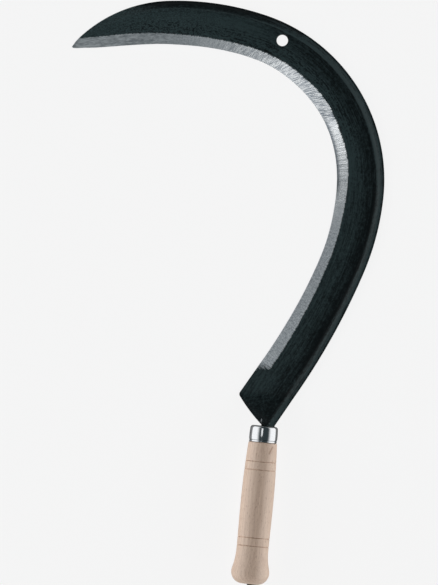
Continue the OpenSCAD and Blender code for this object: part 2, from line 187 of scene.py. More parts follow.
def plate_section(w, floor_t, rib, bevel, ground, fold):
    """A ring of [distance from the spine, height]: over the upper face to the edge, then back below."""
    bevel_here = min(bevel * ground, w - min(tip_strip, w / 2))
    edge_z = floor_t - (plate_t - edge_t) * ground
    plate_z = edge_z + (plate_t - edge_t) * bevel_here / bevel
    bevel_line = w - bevel_here
    rib_foot = min(rib_w, bevel_line * 0.62)
    crest_share = max(rib_foot / rib_w, 0.15)
    crest, round_r = crest_in * crest_share, arris_r * crest_share
    crest_z = plate_z + rib
    low = 0.3 * plate_z
    groove = groove_depth * part_of(bevel_line - rib_foot, 2, 12)
    # Points this close to the strip's line and to the edge keep both crisp under smooth shading
    crisp = min(0.12, bevel_here / 6)
    # Up the back, over the rib's rounded arris and down its slope
    ring = [(0, low), (0, mix(low, crest_z - round_r, 0.5))]
    for a in np.linspace(0, np.pi / 2, 9):
        ring.append((round_r * (1 - math.cos(a)), crest_z - round_r + round_r * math.sin(a)))
    for d in np.linspace(round_r, rib_foot, 19)[1:]:
        ring.append((d, mix(crest_z, plate_z - groove, float(ease(part_of(d, crest, rib_foot))))))
    # Up out of the groove and across the plate to the ground strip
    for d in (*np.linspace(rib_foot, bevel_line - crisp, 19)[1:], bevel_line):
        across = (d - rib_foot) / (bevel_line - rib_foot)
        ring.append((d, plate_z - groove * (1 - across) ** 3 + folded(d, w, fold)))
    # Down the strip and round the edge
    line_z = plate_z + folded(bevel_line, w, fold)
    edge_top = edge_z + 0.75 * fold
    for x in (crisp / bevel_here, *np.linspace(0, 1, 9)[1:-1], 1 - 0.4 * crisp / bevel_here):
        ring.append((mix(bevel_line, w, x), mix(line_z, edge_top, x)))
    ring += [(w, 0.8 * edge_top), (w, 0.2 * edge_top), (w - 0.4 * crisp, 0)]
    # Back along the flat underside
    for d in np.linspace(bevel_line, rib_foot, 10):
        ring.append((d, 0))
    ring += [(mix(rib_foot, crest, 0.5), 0), (crest, 0), (0.2 * crest, 0), (0.1 * crest, 0.45 * low)]
    return np.array(ring)


def crank(y):
    """How far the neck has climbed from the plate towards the handle's axis."""
    x, r = part_of(foot_y + foot_h + crank_len - y, 0, crank_len), crank_bend
    lower = x * x / (2 * r * (1 - r))
    upper = 1 - (1 - x) * (1 - x) / (2 * r * (1 - r))
    return (AXIS_Z - neck_t / 2) * np.where(
        x < r, lower, np.where(x < 1 - r, (x - r / 2) / (1 - r), upper))


def station_ring(outer, inner, section):
    """Stands a section up between its point on the spine and its point on the edge."""
    across = section[:, :1] / np.linalg.norm(inner - outer)
    plan = outer + (inner - outer) * across
    return np.column_stack([plan, section[:, 1] + crank(plan[:, 1])])


def heel_ring(outer, inner, x):
    """A ring of the heel: x goes from 0 at the square foot of the neck to 1 at the heel's corner."""
    fill = (1 - x) ** 2.2
    fold = fold_h * (1 - x) ** 0.8 * (1 - (1 - x) ** 4) + shoulder / 2 * fill
    return station_ring(outer, inner, plate_section(
        np.linalg.norm(inner - outer), mix(plate_t, neck_t - shoulder / 2, fill),
        mix(rib_h, shoulder / 2, fill), bevel_heel_w, unground, fold))


heel_corner = spine_at(heel_at)[0] + heel_w * left_of(spine_lean)
heel_slope = (heel_corner - neck_inner) / np.linalg.norm(heel_corner - neck_inner)
slope_end = heel_corner - heel_round * heel_slope
slope_end_at, blade_from = 0.8 * heel_at, heel_at + heel_round
blade_start = spine_at(blade_from)[0] + blade_width(blade_from) * left_of(spine_lean)

# From the neck's square foot up the bowed slope to the heel, round its corner, and along the blade
foot = heel_ring(neck_outer, neck_inner, 0)
forging_rings = [foot - [0, foot_h, 0], foot]
for x in np.linspace(0, 1, 43)[1:]:
    bow = 4 * heel_bow * x * (1 - x) * np.array([-heel_slope[1], heel_slope[0]])
    inner = mix(neck_inner, slope_end, x) + bow
    forging_rings.append(heel_ring(spine_at(slope_end_at * x)[0], inner, x))
for x in np.linspace(0, 1, 11)[1:-1]:
    inner = mix(mix(slope_end, heel_corner, x), mix(heel_corner, blade_start, x), x)
    forging_rings.append(heel_ring(spine_at(mix(slope_end_at, blade_from, x))[0], inner, 1))
ground_end = bevel_at + bevel_run * (1 - np.cos(np.linspace(0, np.pi / 2, 15)))
stations = (*np.linspace(blade_from, bevel_at, 20)[:-1], *ground_end,
            *np.linspace(ground_end[-1], last_s, 800)[1:])
for s in stations:
    point, heading = spine_at(s)
    w = float(blade_width(s))
    w -= float(edge_wander(s)) * float(part_of(w, 3, 12)) * float(part_of(s, bevel_at, bevel_at + 20))
    # The very point has been bent down a little
    point = point + float(part_of(s, spine_len - bent_len, spine_len)) ** bent_power * bent_by
    forging_rings.append(station_ring(point, point + w * left_of(heading), plate_section(
        w, plate_t, float(rib_height(s)), float(full_bevel(s)), float(ground_share(s)), 0)))

# The tang goes down through the ferrule and the handle, and its end is clinched over the butt. Its
# rings follow the foot's points round, so that the shoulder between them is a flat ring.
foot_across = (neck_out - foot[:, 0], foot[:, 2] - AXIS_Z)
foot_angles = np.arctan2(foot_across[1], foot_across[0] - neck_out)


def bar_ring(middle_point, across, w, t, squareness=9):
    """A square bar with eased corners: across is the plan direction from its spine side to the other."""
    c, s = np.cos(foot_angles), np.sin(foot_angles)
    reach = (np.abs(c / (w / 2)) ** squareness + np.abs(s / (t / 2)) ** squareness) ** (-1 / squareness)
    plan = middle_point + np.outer(reach * c, across)
    return np.column_stack([plan, AXIS_Z + reach * s])


clinch_start = np.array([tang_end_w / 2 + clinch_r, clinch_r - HANDLE_LEN - clinch_gap])
tang_rings = []
for x, shrink in ((0, 0.82), (0.06, 1), (0.2, 1), (0.5, 1), (1, 1)):
    thin = mix(clinch_tip_t, tang_end_w, x)
    face = clinch_start[1] - clinch_r
    tang_rings.append(bar_ring(
        np.array([mix(clinch_reach, clinch_start[0], x), face - thin / 2]), np.array([0.0, -1.0]),
        thin * shrink, tang_end_t * shrink))
for a in np.linspace(-np.pi / 2, -np.pi, 17)[1:]:
    tang_rings.append(bar_ring(
        clinch_start + (clinch_r + tang_end_w / 2) * along(a), along(a), tang_end_w, tang_end_t))
for x in np.linspace(0, 1, 12)[1:]:
    tang_rings.append(bar_ring(
        np.array([0, mix(clinch_start[1], foot_y, x)]), np.array([-1.0, 0.0]),
        mix(tang_end_w, tang_w, x), mix(tang_end_t, tang_t, x)))
forging_rings = tang_rings + forging_rings


def object_from(name, points, faces):
    """An object from points in millimetres in the handle's own frame."""
    points = np.asarray(points, float)
    placed = np.column_stack([points[:, :2] - middle, points[:, 2]]) * MM
    mesh = bpy.data.meshes.new(name)
    mesh.from_pydata(placed.tolist(), [], faces)
    mesh.validate()
    piece = bpy.data.objects.new(name, mesh)
    bpy.context.scene.collection.objects.link(piece)
    return piece


def skin(rings, sides, closed=False):
    """The faces over rings of points, one ring after the other, with caps unless they close on themselves."""
    joined = [(i, (i + 1) % rings) for i in range(rings if closed else rings - 1)]
    faces = [[a * sides + j, b * sides + j, b * sides + (j + 1) % sides, a * sides + (j + 1) % sides]
             for a, b in joined for j in range(sides)]
    if not closed:
        faces.append(list(range(sides)))
        faces.append([(rings - 1) * sides + j for j in reversed(range(sides))])
    return faces


forging = object_from("blade_forging", np.concatenate(forging_rings),
                      skin(len(forging_rings), len(forging_rings[0])))


def turned_piece(name, profile, closed, segments=192):
    """Turns a profile of [radius, distance along Y] round the handle's axis."""
    profile = np.asarray(profile, float)
    angles = np.arange(segments) * 2 * np.pi / segments
    points = np.concatenate([
        np.column_stack([r * np.cos(angles), np.full(segments, y), AXIS_Z + r * np.sin(angles)])
        for r, y in profile])
    return object_from(name, points, skin(len(profile), segments, closed))


def cut_out(piece, cutter):
    """Takes the cutter's space out of the piece, and removes the cutter."""
    cut = piece.modifiers.new("cut", "BOOLEAN")
    cut.object, cut.operation, cut.solver = cutter, "DIFFERENCE", "EXACT"
    bpy.context.view_layer.update()
    made = bpy.data.meshes.new_from_object(piece.evaluated_get(bpy.context.evaluated_depsgraph_get()))
    piece.modifiers.clear()
    piece.data = made
    made.name = piece.name
    bpy.data.objects.remove(cutter)


# The hanging hole is punched through the plate near the crown, and a file has broken its upper and its
# lower rim. The profile of what is taken out goes down from above the plate as [radius, height].
hole_r, hole_from_tip, hole_in, hole_sides = 5.5, 228, 16.4, 96
high_rim, low_rim = 0.35, 0.4
hole_point, hole_heading = spine_at(spine_len - hole_from_tip)
hole_centre = hole_point + hole_in * left_of(hole_heading)
hole_profile = [(hole_r + high_rim, 6), (hole_r + high_rim, 1.75), (hole_r, 1.35),
                (hole_r, 0.3), (hole_r + low_rim, -0.01), (hole_r + low_rim, -1)]
hole_angles = np.arange(hole_sides) * 2 * np.pi / hole_sides
hole_points = np.concatenate([np.column_stack([
    hole_centre[0] + r * np.cos(hole_angles), hole_centre[1] + r * np.sin(hole_angles),
    np.full(hole_sides, z)]) for r, z in hole_profile])
cut_out(forging, object_from("hole_cutter", hole_points, skin(len(hole_profile), hole_sides)))


def points_of(piece):
    """The piece's points in millimetres, in the handle's own frame."""
    co = np.zeros(len(piece.data.vertices) * 3, np.float32)
    piece.data.vertices.foreach_get("co", co)
    return co.reshape(-1, 3).astype(float) / MM + [middle[0], middle[1], 0]


def keep_on_points(piece, name, values):
    """Stores a number or a vector for every point, for the material to read."""
    values = np.asarray(values, np.float32)
    kind, field = ("FLOAT_VECTOR", "vector") if values.ndim == 2 else ("FLOAT", "value")
    piece.data.attributes.new(name, kind, "POINT").data.foreach_set(field, values.ravel())


# What the lacquer and the wheel follow: the distance along the spine, the distance in from the edge,
# how deep inside the ground strip a point lies, and how light the lacquer is painted there, for rubbing and
# for painted light and shade.
forged = points_of(forging)
forged_s, forged_d = on_blade(forged[:, :2])
from_edge = blade_width(forged_s) - forged_d
# The underside is lacquered all over
above = forged[:, 2] - crank(forged[:, 1]) > 0.02
well_outside = -5
ground = full_bevel(forged_s) * ground_share(forged_s) - from_edge
# The hand that held it to the wheel left the strip narrower at some places round the crook
ground = ground + np.interp(forged_s, [290, 325, 345, 362, 385, 405, 440],
                            [0, -1.6, -0.7, 0.1, -0.2, -0.8, -0.2])
ground = np.where((forged_s > bevel_at - 4) & above, ground, well_outside)
# Its lower end lies level across the slanting blade, and fades out over a few millimetres
ground = np.minimum(ground, 0.15 * (forged_s - bevel_at - 0.76 * from_edge))

# How light the lacquer is painted at distances in from the spine, along the straight, in the crook and past
# the crown.
# It is worn thin by rubbing, and on top of that it carries painted light and shade: up to the crown the rib
# is painted light on top, as light falling on its slope, and the groove beside it and the outer rim are
# painted dark, as shade. The runs differ partly with how each part of the curve faces the light.
straight_rubbing_shading = np.interp(forged_d, [1, 1.5, 2, 2.5, 3, 4, 5, 6, 7, 7.5, 8, 8.5, 10, 22, 32],
                      [0.3, 0.5, 0.9, 1.15, 1.05, 0.85, 0.75, 0.7, 0.35, 0, -0.25, -0.4, -0.08, 0.5, 0.65])
crook_rubbing_shading = np.interp(forged_d, [1, 1.5, 2, 4, 5, 6, 7.2, 7.6, 8.1, 8.6, 10, 22, 26, 30, 33],
                      [0.2, 0.4, 0.75, 0.8, 1, 1.3, 1.5, 1.1, 0.4, -0.05, 0.08, 0.47, 0.8, 1, 1.1])
past_crown_rubbing_shading = np.interp(forged_d, [1, 2, 3, 4, 5, 6, 6.6, 7.2, 10, 12, 18, 22, 27, 32],
                      [-0.35, -0.35, -0.2, 0, 0.12, 0.05, 0.35, 0.6, 0.65, 0.8, 0.88, 0.8, 0.75, 0.8])
rubbing_and_shading = mix(straight_rubbing_shading, crook_rubbing_shading, ease(part_of(forged_s, 225, 300)))
rubbing_and_shading = mix(rubbing_and_shading, past_crown_rubbing_shading, ease(part_of(forged_s, 395, 500)))
rubbing_and_shading = mix(rubbing_and_shading, 0.9, ease(part_of(forged_s, 575, 625)))
# Dark patches lie along a line some 30 mm in from the spine, from the crook nearly to the tip
patch_line = np.minimum(30, blade_width(forged_s) - 15)
patchy = ease(part_of(forged_s, 280, 350)) * (1 - part_of(forged_s, 600, 645))
patchy = 1 + 2.2 * patchy * (1 - part_of(np.abs(forged_d - patch_line), 3, 9))
patchy = patchy * (1 - 0.25 * ease(part_of(forged_s, 440, 500)))
# Painted shade: the lacquer in the fold of the neck is painted darker, and a little lighter just beyond it;
# the rib is painted lighter near the neck
neck_shading = np.interp(forged[:, 1], [38, 52, 58, 75], [0.3, 1.15, 1.15, 1])
rubbing_and_shading = np.where(forged_d > 6, rubbing_and_shading * neck_shading, rubbing_and_shading + 0.2 * (1 - part_of(forged_s, 10, 40)))
# Beside the heel's corner the rib and the groove are painted alike, without the painted light on the rib and
# the painted shade in the groove
at_heel = ease(part_of(forged_s, 24, 34)) * (1 - ease(part_of(forged_s, 48, 66)))
rubbing_and_shading = mix(rubbing_and_shading, 0.4, 0.7 * at_heel * (1 - part_of(forged_d, 12, 18)))
# A few chips in the lacquer of the neck, where it was driven into the handle; they are also placed and sized
# as painted highlights, on the rim of the fold, at the bend of the neck and on the heel's slope
for x, y, wide, tall, depth in (
        (-3.6, 21, 1.3, 2.8, 1.75), (5, 19.2, 1.6, 1.2, 1.45), (-16.4, 35.7, 1, 1.7, 1.5)):
    chip_and_glint = depth * np.exp(-((forged[:, 0] - x) / wide) ** 2 - ((forged[:, 1] - y) / tall) ** 2)
    ground = np.where(above, np.maximum(ground, chip_and_glint - 1.5), ground)
keep_on_points(forging, "blade_mm", np.column_stack([forged_s, from_edge, forged[:, 2]]))
keep_on_points(forging, "ground_mm", ground)
keep_on_points(forging, "rubbing_shading_patches", np.column_stack([rubbing_and_shading, patchy, np.zeros_like(rubbing_and_shading)]))

# In the crook the strip is painted brightest, as a painted highlight where it faces the light, and it is made
# smoother there.
# From 340 mm on the wheel was pressed harder, on the slant, which left coarse teeth.
highlit_smooth = np.interp(forged_s, [195, 230, 248, 262, 338, 350, 440, 480, 550],
                  [0, 0.45, 0.9, 1.15, 1.2, 0.78, 0.92, 0.75, 0])
toothed = np.interp(forged_s, [225, 250, 330, 346, 385, 440, 500, 540],
                    [0, 0.1, 0.15, 1, 0.95, 0.62, 0.5, 0])
slant = np.interp(forged_s, [230, 320, 350, 450, 540], [0.1, 0.25, 0.7, 0.7, 0.2])
# Painted shade: the strip is painted darker towards the edge, from 232 to 356 mm along the spine
edge_shade = ease(part_of(forged_s, 232, 262)) * (1 - ease(part_of(forged_s, 336, 356)))
edge_shade = edge_shade * np.interp(from_edge, [1.2, 2, 3, 4, 5, 6], [1, 0.75, 0.38, 0.18, 0.06, 0])
keep_on_points(forging, "scratch_mm", np.column_stack([
    forged_s + slant * from_edge, from_edge, forged[:, 2]]))
keep_on_points(forging, "highlit_toothed_shaded", np.column_stack([highlit_smooth, toothed, edge_shade]))


def linear(hex_colour):
    """An sRGB hex colour as linear red, green, blue and alpha."""
    parts = [int(hex_colour[i:i + 2], 16) / 255 for i in (1, 3, 5)]
    return (*[c / 12.92 if c <= 0.04045 else ((c + 0.055) / 1.055) ** 2.4 for c in parts], 1)


def set_inputs(node, inputs):
    """Gives a node its inputs: values, or links from nodes or from their outputs."""
    for name, value in inputs.items():
        if isinstance(value, bpy.types.Node):
            value = next(output for output in value.outputs if output.enabled)
        if isinstance(value, bpy.types.NodeSocket):
            node.id_data.links.new(value, node.inputs[name])
        else:
            node.inputs[name].default_value = value


def add_node(tree, kind, inputs=None, **settings):
    """Adds a node with its settings and its inputs."""
    node = tree.nodes.new(kind)
    for name, value in settings.items():
        setattr(node, name, value)
    set_inputs(node, inputs or {})
    return node


def new_material(name):
    material = bpy.data.materials.new(name)
    material.use_nodes = True
    tree = material.node_tree
    tree.nodes.clear()
    shader = add_node(tree, "ShaderNodeBsdfPrincipled")
    add_node(tree, "ShaderNodeOutputMaterial", {"Surface": shader})
    return material, tree, shader


def dress(piece, material, sharp_from=38):
    """Gives the piece its material, shaded smooth but for edges sharper than so many degrees."""
    piece.data.materials.clear()
    piece.data.materials.append(material)
    piece.data.shade_smooth()
    piece.data.set_sharp_from_angle(angle=math.radians(sharp_from))


# Green-black stoving lacquer over forged steel, and wheel-ground steel along the edge. The lacquer is
# thin, so the forging's lengthwise streaks and scale show through as soft mottling, and it is lighter
# where it has worn thin by rubbing; it also carries painted light on the rib and painted shade in the groove
# and the neck's fold. The wheel's scratches cross the strip on the slant; the strip carries a painted
# highlight in the crook and painted shade towards the edge.
steel, tree, shader = new_material("lacquered_and_ground_carbon_steel")
place = add_node(tree, "ShaderNodeAttribute", attribute_name="blade_mm").outputs["Vector"]
scratch_place = add_node(tree, "ShaderNodeAttribute", attribute_name="scratch_mm").outputs["Vector"]
inside = add_node(tree, "ShaderNodeAttribute", attribute_name="ground_mm").outputs["Fac"]
strip_light_teeth_shade = add_node(tree, "ShaderNodeAttribute", attribute_name="highlit_toothed_shaded").outputs["Vector"]
strip_light_teeth_shade = add_node(tree, "ShaderNodeSeparateXYZ", {0: strip_light_teeth_shade})
lacquer_tones = add_node(tree, "ShaderNodeAttribute", attribute_name="rubbing_shading_patches").outputs["Vector"]
lacquer_tones = add_node(tree, "ShaderNodeSeparateXYZ", {0: lacquer_tones})
on_spine = add_node(tree, "ShaderNodeSeparateXYZ", {0: place}).outputs["X"]

# Each of these is so many millimetres along the spine and across it. The rolling left streaks, which give
# way to scale towards the tip. The wheel's scratches are 0.6 mm apart, drawn coarser than the real grit so
# that they show, and its teeth 1.5 mm. The tip was ground lengthwise and is blotched.
marks = {}
for mark, at, along_mm, across_mm, detail, roughness in (
        ("streaks", place, 28, 1.1, 4, 0.6), ("scale", place, 3, 1.6, 4, 0.65),
        ("mottle", place, 4, 2.2, 5, 0.7), ("grain", place, 1.6, 0.9, 2, 0.5),
        ("blotches", place, 7, 2, 4, 0.65), ("scratches", scratch_place, 0.6, 7, 5, 0.7),
        ("teeth", scratch_place, 1.5, 8, 3, 0.6)):
    size = (1 / along_mm, 1 / across_mm, 1 / across_mm)
    scaled = add_node(tree, "ShaderNodeVectorMath", {0: at, 1: size}, operation="MULTIPLY")
    marks[mark] = add_node(tree, "ShaderNodeTexNoise", {
        "Vector": scaled, "Scale": 1.0, "Detail": detail, "Roughness": roughness})

# The lacquer: lighter where it is thin and worn, painted lighter on the rib as light and darker in the groove
# as shade
at_crown = add_node(tree, "ShaderNodeMapRange", {"Value": on_spine, "From Min": 485, "From Max": 565})
rolled = add_node(tree, "ShaderNodeMix", {"Factor": at_crown, "A": marks["streaks"], "B": marks["scale"]})
uneven = add_node(tree, "ShaderNodeMath", {0: rolled, 1: marks["mottle"]}, operation="ADD")
uneven = add_node(tree, "ShaderNodeMath", {0: marks["grain"], 1: 0.6, 2: uneven}, operation="MULTIPLY_ADD")
thinned = add_node(tree, "ShaderNodeMapRange", {
    "Value": uneven, "From Min": 1.08, "From Max": 1.52, "To Min": -0.5, "To Max": 0.5})
# This share carries the painted light on the rib and the painted shade in the groove and the neck's fold,
# along with the worn lacquer
thin_and_lit_share = add_node(tree, "ShaderNodeMath", {
    0: thinned, 1: lacquer_tones.outputs["Y"], 2: lacquer_tones.outputs["X"]}, operation="MULTIPLY_ADD", use_clamp=True)
lacquer_colour = add_node(tree, "ShaderNodeMix", {
    "Factor": thin_and_lit_share, "A": linear("#050c0e"), "B": linear("#303f41")}, data_type="RGBA")
# Past the crown it has also been scuffed, which shows as light specks
specks = add_node(tree, "ShaderNodeMapRange", {
    "Value": marks["grain"], "From Min": 0.47, "From Max": 0.72, "To Max": 0.55})
specks = add_node(tree, "ShaderNodeMath", {0: specks, 1: at_crown}, operation="MULTIPLY")
specks = add_node(tree, "ShaderNodeMath", {
    0: specks, 1: lacquer_tones.outputs["X"]}, operation="MULTIPLY", use_clamp=True)
lacquer_colour = add_node(tree, "ShaderNodeMix", {
    "Factor": specks, "A": lacquer_colour, "B": linear("#536366")}, data_type="RGBA")

# The ground steel: dull along the straight, with a painted highlight in the crook, toothed above it, and
# painted darker towards the edge as shade
at_tip = add_node(tree, "ShaderNodeMapRange", {"Value": on_spine, "From Min": 530, "From Max": 590})
scratch_share = add_node(tree, "ShaderNodeMapRange", {
    "Value": marks["scratches"], "From Min": 0.38, "From Max": 0.62})
tooth_share = add_node(tree, "ShaderNodeMapRange", {
    "Value": marks["teeth"], "From Min": 0.4, "From Max": 0.58})
blotch_share = add_node(tree, "ShaderNodeMapRange", {
    "Value": marks["blotches"], "From Min": 0.38, "From Max": 0.62})
highlight_texture = add_node(tree, "ShaderNodeMix", {"Factor": 0.5, "A": scratch_share, "B": blotch_share})
grain_share = add_node(tree, "ShaderNodeMapRange", {
    "Value": marks["grain"], "From Min": 0.36, "From Max": 0.64})
dull_share = add_node(tree, "ShaderNodeMix", {"Factor": 0.6, "A": scratch_share, "B": grain_share})
dull_steel = add_node(tree, "ShaderNodeMix", {
    "Factor": dull_share, "A": linear("#a0a7ae"), "B": linear("#f0f3f6")}, data_type="RGBA")
tip_steel = add_node(tree, "ShaderNodeMix", {
    "Factor": blotch_share, "A": linear("#999fa4"), "B": linear("#d2d7da")}, data_type="RGBA")
# The colours of the painted highlight in the crook
highlit_steel = add_node(tree, "ShaderNodeMix", {
    "Factor": highlight_texture, "A": linear("#e4e7ea"), "B": linear("#fcfdfe")}, data_type="RGBA")
toothed_steel = add_node(tree, "ShaderNodeMix", {
    "Factor": tooth_share, "A": linear("#8d959f"), "B": linear("#f2f4f6")}, data_type="RGBA")
steel_colour = add_node(tree, "ShaderNodeMix", {
    "Factor": at_tip, "A": dull_steel, "B": tip_steel}, data_type="RGBA")
# The first share paints the highlight in the crook, the second the teeth, the third the shade towards the
# edge
for share, part in (("X", highlit_steel), ("Y", toothed_steel), ("Z", linear("#767d84"))):
    steel_colour = add_node(tree, "ShaderNodeMix", {
        "Factor": strip_light_teeth_shade.outputs[share], "A": steel_colour, "B": part}, data_type="RGBA")

# The lacquer's torn border along the ground strip wanders by a few tenths of a millimetre
border = add_node(tree, "ShaderNodeMath", {0: marks["teeth"], 1: 3.0, 2: -1.5}, operation="MULTIPLY_ADD")
bared = add_node(tree, "ShaderNodeMath", {0: inside, 1: border}, operation="ADD")
mask = add_node(tree, "ShaderNodeMapRange", {
    "Value": bared, "From Min": -0.4, "From Max": 0.6}, interpolation_type="SMOOTHSTEP")

colour = add_node(tree, "ShaderNodeMix", {
    "Factor": mask, "A": lacquer_colour, "B": steel_colour}, data_type="RGBA")
lacquer_rough = add_node(tree, "ShaderNodeMapRange", {
    "Value": uneven, "From Min": 1.0, "From Max": 1.6, "To Min": 0.28, "To Max": 0.42})
dull_rough = add_node(tree, "ShaderNodeMapRange", {
    "Value": marks["scratches"], "From Min": 0.35, "From Max": 0.65, "To Min": 0.42, "To Max": 0.32})
steel_rough = add_node(tree, "ShaderNodeMath", {
    0: strip_light_teeth_shade.outputs["X"], 1: -0.17, 2: dull_rough}, operation="MULTIPLY_ADD")
rough = add_node(tree, "ShaderNodeMix", {"Factor": mask, "A": lacquer_rough, "B": steel_rough})
lacquer_bump = add_node(tree, "ShaderNodeBump", {"Height": uneven, "Strength": 0.3, "Distance": 0.00008})
steel_bump = add_node(tree, "ShaderNodeBump", {
    "Height": marks["scratches"], "Strength": 0.3, "Distance": 0.00006})
normal = add_node(tree, "ShaderNodeMix", {
    "Factor": mask, "A": lacquer_bump, "B": steel_bump}, data_type="VECTOR")
set_inputs(shader, {"Base Color": colour, "Roughness": rough, "Normal": normal, "Metallic": mask,
                    "IOR": 1.5, "Specular IOR Level": 0.3})

dress(forging, steel)
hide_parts("blade")
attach(forging, "root")

# The ferrule is a cup drawn from steel strip and nickel plated, slightly barrelled, with its top turned
# in round the mouth that the tang goes through and a bead rolled round its lower end. It is pushed
# over the handle's tenon.
ferrule_r, swell, wall, mouth_r, tenon_gap = 13.2, 0.5, 1.2, 6.5, 0.05
bore_r = ferrule_r - wall
tenon_r = bore_r - tenon_gap
top_r, bead_h, bead_out, bead_gap = 2.6, 2.4, 0.25, 0.3
bead_r = bead_out + 0.7 * wall


def ferrule_side(y):
    """The barrelled side's radius, widest below the middle."""
    return ferrule_r + swell * math.sin(math.pi * float(part_of(y, 0, FERRULE_H)) ** 0.8)


# The profile goes round the wall: from the broken lower rim up the outside, and back down the bore
ferrule_profile = [(bore_r, 0.25), (bore_r + 0.25, 0)]
for a in np.linspace(-np.pi / 2, np.pi / 3, 19):
    ferrule_profile.append((
        ferrule_r + bead_out - bead_r + bead_r * math.cos(a), bead_h / 2 * (1 + math.sin(a))))
for y in np.linspace(bead_h + bead_gap, FERRULE_H - top_r, 22)[:-1]:
    ferrule_profile.append((ferrule_side(y), y))
shoulder_r = ferrule_side(FERRULE_H - top_r)
for a in np.linspace(0, np.pi / 2, 15):
    ferrule_profile.append((
        shoulder_r - top_r + top_r * math.cos(a), FERRULE_H - top_r + top_r * math.sin(a)))
ferrule_profile += [(mouth_r + 0.5, FERRULE_H), (mouth_r + 0.1, FERRULE_H - 0.1), (mouth_r, FERRULE_H - 0.4),
                    (mouth_r, FERRULE_H - wall), (tenon_r - 0.6, FERRULE_H - wall),
                    (bore_r, FERRULE_H - wall - 0.6)]
ferrule = turned_piece("plated_ferrule", ferrule_profile, closed=True)

# Nickel plate, buffed: a mirror that warps a little over 5 to 6 mm, with rubbing marks round it. They are
# 0.25 mm apart, coarser than the real ones, so that they show.
nickel, tree, shader = new_material("buffed_nickel_plate")
turned_at = points_of(ferrule)
keep_on_points(ferrule, "turned_mm", np.column_stack([
    np.arctan2(turned_at[:, 2] - AXIS_Z, turned_at[:, 0]) * ferrule_r, turned_at[:, 1],
    np.hypot(turned_at[:, 0], turned_at[:, 2] - AXIS_Z)]))
place = add_node(tree, "ShaderNodeAttribute", attribute_name="turned_mm").outputs["Vector"]
wave_place = add_node(tree, "ShaderNodeVectorMath", {
    0: place, 1: (1 / 6, 1 / 5, 1 / 5)}, operation="MULTIPLY")
waves = add_node(tree, "ShaderNodeTexNoise", {"Vector": wave_place, "Scale": 1.0, "Detail": 2.0})
rub_place = add_node(tree, "ShaderNodeVectorMath", {0: place, 1: (1 / 7, 1 / 0.25, 1)}, operation="MULTIPLY")
rubs = add_node(tree, "ShaderNodeTexNoise", {"Vector": rub_place, "Scale": 1.0, "Detail": 4.0})
nickel_colour = add_node(tree, "ShaderNodeMix", {
    "Factor": rubs, "A": linear("#b3b6b9"), "B": linear("#c6c7c8")}, data_type="RGBA")
nickel_rough = add_node(tree, "ShaderNodeMapRange", {"Value": rubs, "To Min": 0.05, "To Max": 0.16})
nickel_bump = add_node(tree, "ShaderNodeBump", {"Height": waves, "Strength": 0.25, "Distance": 0.0003})
set_inputs(shader, {
    "Base Color": nickel_colour, "Roughness": nickel_rough, "Normal": nickel_bump, "Metallic": 1})

dress(ferrule, nickel)
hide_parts("ferrule")
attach(ferrule, "root")

# The handle is turned from one billet of beech, with two pairs of rings scored round it, a swollen butt,
# and a tenon under the ferrule. It is bored through, and the tang is burnt and driven into the bore.
shoulder_d, chamfer, belly_d, belly_from = 27.7, 0.5, 31.7, 59
grip_waist_d, cove_from, knob_r = 31, 104, 12
butt_round, butt_round_in = 11.5, 11
score_w, score_depth, scores_at = 0.9, 0.45, (18.5, 26.5, 92.5, 100.5)
tenon_top, tenon_chamfer, at_axis, slot_gap = FERRULE_H - wall - tenon_gap, 0.4, 0.001, 0.15
# The cove before the butt and the knob are two arcs that run into each other
cove_len = HANDLE_LEN - butt_round - cove_from
cove_rise = (BUTT_D - grip_waist_d) / 2
both_r = (cove_len ** 2 + cove_rise ** 2) / (2 * cove_rise)
cove_r = both_r - knob_r
cove_end = cove_from + cove_len * cove_r / both_r


def handle_r(d):
    """The handle's radius at distance d below its shoulder."""
    if d < belly_from:
        return belly_d / 2 - (belly_d - shoulder_d) / 2 * (1 - d / belly_from) ** 2
    if d < cove_from:
        return mix(belly_d, grip_waist_d, ease(part_of(d, belly_from, cove_from))) / 2
    if d < cove_end:
        return grip_waist_d / 2 + cove_r - math.sqrt(cove_r ** 2 - (d - cove_from) ** 2)
    return BUTT_D / 2 - knob_r + math.sqrt(knob_r ** 2 - (HANDLE_LEN - butt_round - d) ** 2)


def scored(d):
    """The depth of the scored rings: each is a small V with eased lips."""
    return sum(score_depth * max(0, 1 - abs(d - at) / (score_w / 2)) ** 0.8 for at in scores_at)


# The profile goes from the tenon's top down to the butt, with closer points at the scored rings
distances = sorted({round(float(d), 3) for d in (
    *np.linspace(chamfer, HANDLE_LEN - butt_round, 129),
    *[at + aside for at in scores_at for aside in np.linspace(-0.6, 0.6, 9)])})
handle_profile = [(at_axis, tenon_top), (tenon_r - tenon_chamfer, tenon_top),
                  (tenon_r, tenon_top - tenon_chamfer), (tenon_r, 0), (handle_r(0) - chamfer, 0)]
handle_profile += [(handle_r(d) - scored(d), -d) for d in distances]
for a in np.linspace(0, np.pi / 2, 28)[1:]:
    handle_profile.append((BUTT_D / 2 - butt_round_in + butt_round_in * math.cos(a),
                           -(HANDLE_LEN - butt_round) - butt_round * math.sin(a)))
handle_profile.append((at_axis, -HANDLE_LEN))
handle = turned_piece("beech_handle", handle_profile[::-1], closed=False)
# The bore for the tang clears it by the slot's gap all round
slot_points = [(sx * (w / 2 + slot_gap), y, AXIS_Z + sz * (t / 2 + slot_gap))
               for y, w, t in ((FERRULE_H, tang_w, tang_t), (-HANDLE_LEN - 1, tang_end_w, tang_end_t))
               for sx, sz in ((-1, -1), (1, -1), (1, 1), (-1, 1))]
cut_out(handle, object_from("tang_cutter", slot_points, [
    [3, 2, 1, 0], [4, 5, 6, 7], [0, 1, 5, 4], [1, 2, 6, 5], [2, 3, 7, 6], [3, 0, 4, 7]]))

